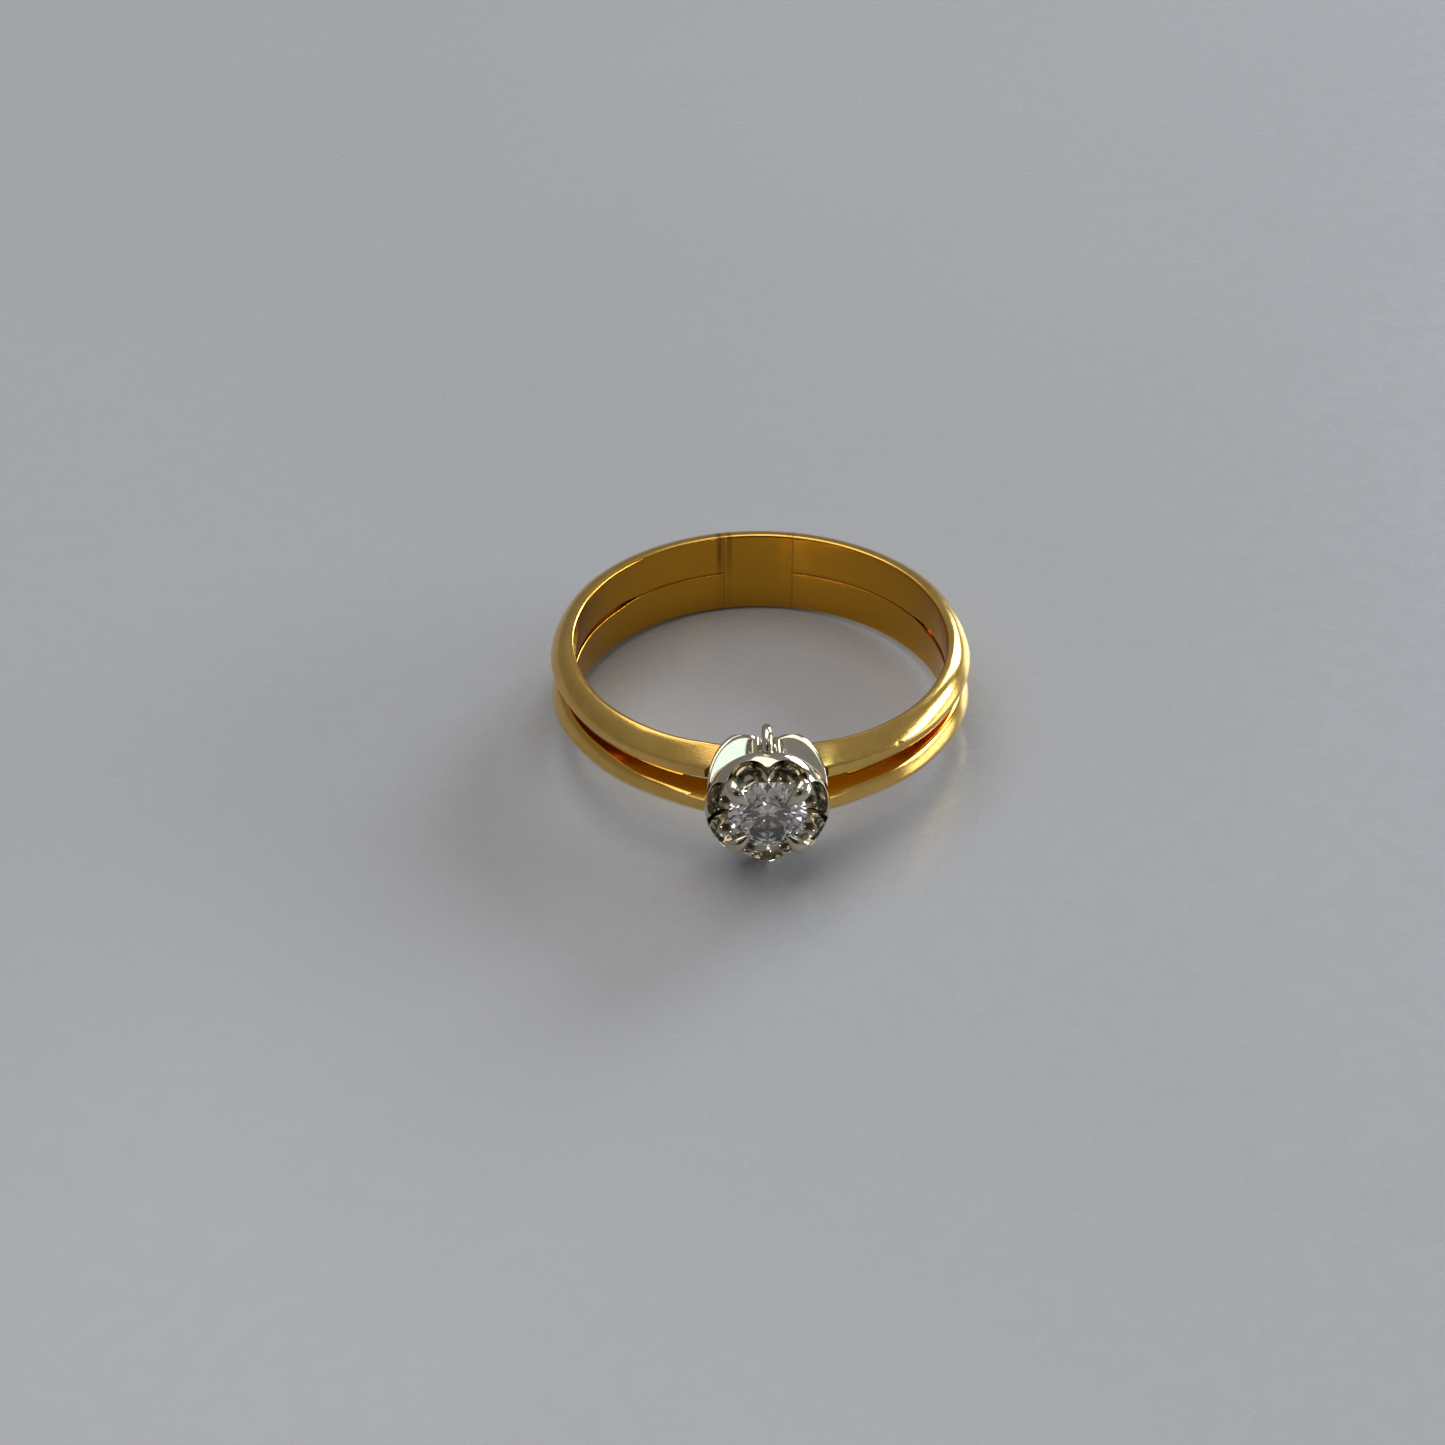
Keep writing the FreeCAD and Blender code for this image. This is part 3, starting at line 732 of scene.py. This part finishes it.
# ---- Stone ----------------------------------------------------------------------------------------------
def stone(material):
    """A round brilliant with flat facets and a thin girdle, scalloped where the facets meet it."""
    step = 360 / main_facets
    splits = girdle_splits
    top, low = girdle_height + girdle_thickness, girdle_height
    crown_slope, pavilion_slope = tan(radians(crown_angle)), tan(radians(pavilion_angle))
    table_radius = stone_radius * table_share
    star_radius = mix(table_radius, stone_radius, star_share)
    half_radius = stone_radius * (1 - lower_half_share)
    near = cos(radians(step / 2))

    def ring(radius, height, shift):
        return [
            (radius * cos(radians(i * step + shift)), radius * sin(radians(i * step + shift)), height)
            for i in range(main_facets)
        ]

    table = ring(table_radius, top + (stone_radius - table_radius) * crown_slope, 0)
    star = ring(star_radius, top + (stone_radius - star_radius * near) * crown_slope, step / 2)
    half = ring(half_radius, low - (stone_radius - half_radius * near) * pavilion_slope, step / 2)
    culet = [(0, 0, low - stone_radius * pavilion_slope)]
    per_main = 2 * splits
    count = main_facets * per_main
    edges = {"top": [], "low": []}
    for index in range(count):
        turn = radians(index * 360 / count)
        x, y = stone_radius * cos(turn), stone_radius * sin(turn)
        half_index = index // splits
        ends = [radians((half_index + k) * step / 2) for k in (0, 1)]
        apex_index = half_index // 2
        for key, apexes, height in (("top", star, top), ("low", half, low)):
            a = np.array(apexes[apex_index])
            b, c = (np.array([stone_radius * cos(e), stone_radius * sin(e), height]) for e in ends)
            normal = np.cross(b - a, c - a)
            edges[key].append((x, y, a[2] - (normal[0] * (x - a[0]) + normal[1] * (y - a[1])) / normal[2]))

    points = table + star + half + culet + edges["top"] + edges["low"]
    at_star, at_half, at_culet = main_facets, 2 * main_facets, 3 * main_facets
    at_top = at_culet + 1
    at_low = at_top + count
    faces = [tuple(range(main_facets))]
    for i in range(main_facets):
        after = (i + 1) % main_facets
        girdle = [i * per_main, (i * per_main + splits) % count, (i + 1) * per_main % count]
        faces.append((i, after, at_star + i))
        faces.append((i, at_star + i, at_top + girdle[0], at_star + (i - 1) % main_facets))
        faces.append((at_low + girdle[0], at_half + i, at_culet, at_half + (i - 1) % main_facets))
        for part in range(2):
            run = [(i * per_main + part * splits + k) % count for k in range(splits + 1)]
            faces.append((at_star + i, *[at_top + k for k in run]))
            faces.append((at_half + i, *[at_low + k for k in run]))
    for index in range(count):
        after = (index + 1) % count
        faces.append((at_top + index, at_top + after, at_low + after, at_low + index))
    laid = [(x, -height, y) for x, y, height in points]
    piece = make_piece("diamond", laid, faces, material)
    piece.data.shade_flat()
    return piece


# ---- Materials ------------------------------------------------------------------------------------------
def new_material(name):
    material = bpy.data.materials.new(name)
    material.use_nodes = True
    material.node_tree.nodes.clear()
    return material, material.node_tree


def add(tree, kind, **settings):
    """A new shader node with the given properties."""
    made = tree.nodes.new("ShaderNode" + kind)
    for key, value in settings.items():
        setattr(made, key, value)
    return made


def feed(tree, socket, source):
    """Links a node's output to an input, or sets a plain value on the input."""
    if isinstance(source, bpy.types.NodeSocket):
        tree.links.new(source, socket)
    else:
        socket.default_value = source


def maths(tree, operation, first, second=0.0):
    made = add(tree, "Math", operation=operation)
    feed(tree, made.inputs[0], first)
    feed(tree, made.inputs[1], second)
    return made.outputs[0]


def noise(tree, vector, scale, detail=2.0, roughness=0.5):
    made = add(tree, "TexNoise")
    feed(tree, made.inputs["Vector"], vector)
    made.inputs["Scale"].default_value = scale
    made.inputs["Detail"].default_value = detail
    made.inputs["Roughness"].default_value = roughness
    return made.outputs["Fac"]


def spread(tree, value, low, high, out_low, out_high):
    """Maps a range of values smoothly to another range."""
    made = add(tree, "MapRange", interpolation_type="SMOOTHSTEP")
    feed(tree, made.inputs["Value"], value)
    made.inputs["From Min"].default_value = low
    made.inputs["From Max"].default_value = high
    made.inputs["To Min"].default_value = out_low
    made.inputs["To Max"].default_value = out_high
    return made.outputs["Result"]


def blend(tree, share, first, second):
    made = add(tree, "Mix", data_type="RGBA")
    feed(tree, made.inputs["Factor"], share)
    feed(tree, made.inputs["A"], first)
    feed(tree, made.inputs["B"], second)
    return made.outputs["Result"]


def around_ring(tree):
    """Position in millimetres, the angle from the shank's back, and the distance from the hole's axis."""
    place = add(tree, "TexCoord").outputs["Object"]
    split = add(tree, "SeparateXYZ")
    feed(tree, split.inputs[0], place)
    x, y, z = (maths(tree, "DIVIDE", split.outputs[axis], MM) for axis in range(3))
    turn = maths(tree, "ARCTAN2", x, y)
    squares = maths(tree, "ADD", maths(tree, "MULTIPLY", x, x), maths(tree, "MULTIPLY", y, y))
    return x, y, z, turn, maths(tree, "SQRT", squares)


def mixed(first, second, share):
    """A colour between two others."""
    return tuple(mix(a, b, share) for a, b in zip(first, second))


def combine(tree, x, y, z):
    made = add(tree, "CombineXYZ")
    for socket, source in zip(made.inputs, (x, y, z)):
        feed(tree, socket, source)
    return made.outputs[0]


def metal(name, colour, deep, inside, smooth_finish, worn_finish, scratch, wave, specks, stains=()):
    """Polished and worn metal: buffing lines round the ring, fine scratches, painted shade in the finger
    hole and between the rails.
    """
    material, tree = new_material(name)
    x, y, z, turn, radius = around_ring(tree)
    place = combine(tree, x, y, z)
    along_shank = maths(tree, "MULTIPLY", maths(tree, "MULTIPLY", turn, finger_radius), buffing_stretch[0])
    rolled = combine(tree, along_shank, maths(tree, "MULTIPLY", z, buffing_stretch[1]), radius)
    hair_x, hair_y = maths(tree, "MULTIPLY", x, hair_stretch[0]), maths(tree, "MULTIPLY", y, hair_stretch[1])
    lines = noise(tree, rolled, buffing_scale, 4.0, 0.65)
    hairs = noise(tree, combine(tree, hair_x, hair_y, z), hair_scale, 3.0, 0.7)
    cloud = noise(tree, place, cloud_scale, 3.0, 0.6)
    grain = noise(tree, place, speck_scale, 2.0, 0.6)

    tone = blend(tree, spread(tree, cloud, 0.35, 0.7, 0.0, 1.0), colour, mixed(colour, deep, 0.35))
    tone = blend(tree, spread(tree, lines, 0.55, 0.8, 0.0, 0.5), tone, deep)
    # Painted shade: the finger hole's surface and the groove between the rails take the darker, deeper
    # inside colour.
    bore = spread(tree, radius, finger_radius, finger_radius + edge_bevel, 1.0, 0.0)
    groove = spread(tree, maths(tree, "ABSOLUTE", z), *groove_shade_offsets, 1.0, 0.0)
    low = spread(tree, maths(tree, "SUBTRACT", radius, finger_radius), *groove_shade_heights, 1.0, 0.0)
    painted_shade_mask = maths(tree, "MAXIMUM", bore, maths(tree, "MULTIPLY", groove, low))
    tone = blend(tree, painted_shade_mask, tone, inside)
    for stain_angle, strength in stains:
        away = maths(tree, "ABSOLUTE", maths(tree, "SUBTRACT", turn, radians(stain_angle)))
        stain = spread(tree, away, radians(stain_core), radians(stain_width), strength, 0.0)
        stain = maths(tree, "MULTIPLY", stain, spread(tree, z, *stain_fade, 0.2, 1.0))
        tone = blend(tree, stain, tone, stain_colour)
    marks = spread(tree, grain, 0.68, 0.8, 0.0, specks)
    tone = blend(tree, marks, tone, mixed(deep, speck_colour, 0.6))

    wear = spread(tree, hairs, 0.4, 0.75, smooth_finish, worn_finish)
    rough = maths(tree, "ADD", wear, spread(tree, lines, 0.45, 0.8, 0.0, 0.08))

    height = maths(tree, "ADD", maths(tree, "MULTIPLY", lines, 0.7), maths(tree, "MULTIPLY", hairs, 0.5))
    waves = maths(tree, "MULTIPLY", noise(tree, place, wave_scale, 1.0), wave)
    bump = add(tree, "Bump")
    bump.inputs["Strength"].default_value = scratch
    bump.inputs["Distance"].default_value = bump_height * MM
    feed(tree, bump.inputs["Height"], maths(tree, "ADD", height, waves))

    shader = add(tree, "BsdfPrincipled")
    shader.inputs["Metallic"].default_value = 1.0
    feed(tree, shader.inputs["Base Color"], tone)
    feed(tree, shader.inputs["Roughness"], rough)
    feed(tree, shader.inputs["Normal"], bump.outputs[0])
    output = add(tree, "OutputMaterial")
    feed(tree, output.inputs["Surface"], shader.outputs[0])
    return material


def diamond_material():
    """Clear stone with the faintest warm clouding."""
    material, tree = new_material("diamond")
    cloud = noise(tree, combine(tree, *around_ring(tree)[:3]), stone_cloud_scale, 2.0)
    tone = blend(tree, spread(tree, cloud, 0.3, 0.7, 0.0, 1.0), *stone_tones)
    shader = add(tree, "BsdfPrincipled")
    feed(tree, shader.inputs["Base Color"], tone)
    shader.inputs["Roughness"].default_value = 0.0
    shader.inputs["IOR"].default_value = stone_index
    shader.inputs["Transmission Weight"].default_value = 1.0
    output = add(tree, "OutputMaterial")
    feed(tree, output.inputs["Surface"], shader.outputs[0])
    return material


def floor_material():
    """A pale satin table top, slightly uneven."""
    material, tree = new_material("table_top")
    place = add(tree, "TexCoord").outputs["Object"]
    cloud = noise(tree, place, floor_cloud_scale, 3.0, 0.5)
    grain = noise(tree, place, floor_grain_scale, 2.0, 0.5)
    tone = blend(tree, spread(tree, cloud, 0.3, 0.7, 0.0, 1.0), *floor_tones)
    bump = add(tree, "Bump")
    bump.inputs["Strength"].default_value = floor_bump_strength
    bump.inputs["Distance"].default_value = floor_bump_height
    feed(tree, bump.inputs["Height"], grain)
    shader = add(tree, "BsdfPrincipled")
    feed(tree, shader.inputs["Base Color"], tone)
    feed(tree, shader.inputs["Roughness"], spread(tree, grain, 0.3, 0.7, *floor_roughness))
    feed(tree, shader.inputs["Normal"], bump.outputs[0])
    output = add(tree, "OutputMaterial")
    feed(tree, output.inputs["Surface"], shader.outputs[0])
    return material


# ---- The shank and the head -----------------------------------------------------------------------------
def yellow_gold():
    return metal(
        "yellow_gold",
        colour=(0.80, 0.53, 0.16, 1),
        deep=(0.66, 0.38, 0.08, 1),
        # Painted shade: the darker, deeper colour given to the finger hole and the groove between the rails.
        inside=(0.68, 0.36, 0.035, 1),
        smooth_finish=0.13,
        worn_finish=0.22,
        scratch=0.35,
        wave=2.2,
        specks=0.4,
        stains=gold_stains,
    )


def gold_solder():
    return metal(
        "gold_solder",
        colour=(0.60, 0.35, 0.08, 1),
        deep=(0.36, 0.19, 0.04, 1),
        # Painted shade: the darker colour given to the solder in the groove between the rails and at the
        # finger hole.
        inside=(0.50, 0.27, 0.04, 1),
        smooth_finish=0.25,
        worn_finish=0.4,
        scratch=0.5,
        wave=1.0,
        specks=0.6,
    )


def white_gold():
    return metal(
        "white_gold",
        colour=(0.67, 0.62, 0.50, 1),
        deep=(0.48, 0.42, 0.31, 1),
        # Painted shade: the darker colour given to the cup's side of the finger hole.
        inside=(0.58, 0.52, 0.40, 1),
        smooth_finish=0.06,
        worn_finish=0.13,
        scratch=0.12,
        wave=0.5,
        specks=0.3,
    )


def shank(gold, solder):
    """Four rails, the sizing piece at the back and the solder in the joints."""
    for word in ("left", "right"):
        for side in (1, -1):
            rail(word, side, gold)
    film = degrees(joint_film / finger_radius)
    middle = 180 - sizing_offset_angle
    start, end = middle - sizing_angle(), middle + sizing_angle()
    back_piece("sizing_piece", start, end, 0.0, gold)
    back_piece("joint_solder_right", start - film, start, joint_sink, solder)
    back_piece("joint_solder_left", end, end + film, joint_sink, solder)
    for word in ("left", "right"):
        seam = frame["nodes"][f"seam_solder_{word}"]
        seam.data.materials.clear()
        seam.data.materials.append(solder)


def head(white):
    """The white gold setting, from the cup up."""
    cup(white)
    collet(white)
    bowl(white)
    for index, word in enumerate(claw_words):
        claw(index, word, white)
    gallery("upper", 1, white)
    gallery("lower", -1, white)


# ---- Surroundings ---------------------------------------------------------------------------------------
def make_floor():
    """The table top that the ring lies on: it touches the lower loop and the back's lower edge."""
    head_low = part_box("gallery_loop_lower")[0]
    back_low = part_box("sizing_piece")
    head_y, head_z = -(loop_low + loop_wire_radius) * MM, head_low.z
    back_y, back_z = back_low[1].y, back_low[0].z
    slope = (back_z - head_z) / (back_y - head_y)
    corners = [(x * floor_half, y * floor_half) for x, y in ((-1, -1), (1, -1), (1, 1), (-1, 1))]
    mesh = bpy.data.meshes.new("floor")
    mesh.from_pydata([(x, y, head_z + (y - head_y) * slope) for x, y in corners], [], [(0, 1, 2, 3)])
    mesh.materials.append(floor_material())
    floor = bpy.data.objects.new("floor", mesh)
    bpy.context.scene.collection.objects.link(floor)


def area_light(name, place, size, power, colour):
    """A soft rectangular light that faces the ring."""
    data = bpy.data.lights.new(name, "AREA")
    data.shape = "RECTANGLE"
    data.size, data.size_y = size
    data.energy = power
    data.color = colour
    light = bpy.data.objects.new(name, data)
    light.location = place
    light.rotation_euler = (-Vector(place)).to_track_quat("-Z", "Y").to_euler()
    bpy.context.scene.collection.objects.link(light)


def surroundings():
    """The room by direction: a pale ceiling, grey walls, and somebody dark who stands in front."""
    world = bpy.data.worlds.new("surroundings")
    world.use_nodes = True
    tree = world.node_tree
    way = add(tree, "TexCoord").outputs["Generated"]
    split = add(tree, "SeparateXYZ")
    feed(tree, split.inputs[0], way)
    narrow = spread(tree, maths(tree, "ABSOLUTE", split.outputs[0]), *dim_side, 1.0, 0.0)
    ahead = spread(tree, split.outputs[1], *dim_back, 1.0, 0.0)
    low = spread(tree, split.outputs[2], *dim_top, 1.0, 0.0)
    front = maths(tree, "MULTIPLY", maths(tree, "MULTIPLY", narrow, ahead), low)
    above = spread(tree, split.outputs[2], *ceiling_start, 0.0, 1.0)
    tone = blend(tree, above, wall_colour, ceiling_colour)
    tone = blend(tree, front, tone, dim_colour)
    feed(tree, tree.nodes["Background"].inputs["Color"], tone)
    bpy.context.scene.world = world


def light_scene():
    """Windows behind on the right and to the right, a soft ceiling, a panel and two sparks in front."""
    for name, (place, size, power, colour) in lights.items():
        area_light(name, place, size, power, colour)
    surroundings()
    bpy.context.scene.view_settings.view_transform = "Standard"
    bpy.context.scene.view_settings.gamma = picture_gamma
    bpy.context.scene.cycles.max_bounces = stone_bounces
    bpy.context.scene.cycles.transmission_bounces = stone_bounces


def make_camera():
    """The camera, turned about the ring's centre and rolled a little."""
    azimuth, elevation, roll = (radians(a) for a in (camera_azimuth, camera_elevation, camera_roll))
    back = Vector((sin(azimuth) * cos(elevation), -cos(azimuth) * cos(elevation), sin(elevation)))
    right = Vector((cos(azimuth), sin(azimuth), 0))
    up = back.cross(right)
    across = right * cos(roll) - up * sin(roll)
    upright = right * sin(roll) + up * cos(roll)
    data = bpy.data.cameras.new("camera")
    data.lens = camera_lens
    data.sensor_width = camera_sensor
    data.shift_x, data.shift_y = camera_shift
    data.clip_start, data.clip_end = camera_clip
    camera = bpy.data.objects.new("camera", data)
    turn = Matrix((across, upright, back)).transposed().to_4x4()
    camera.matrix_world = Matrix.Translation(back * camera_distance) @ turn
    bpy.context.scene.collection.objects.link(camera)
    bpy.context.scene.camera = camera


shank(yellow_gold(), gold_solder())
head(white_gold())
stone(diamond_material())
make_floor()
light_scene()
make_camera()
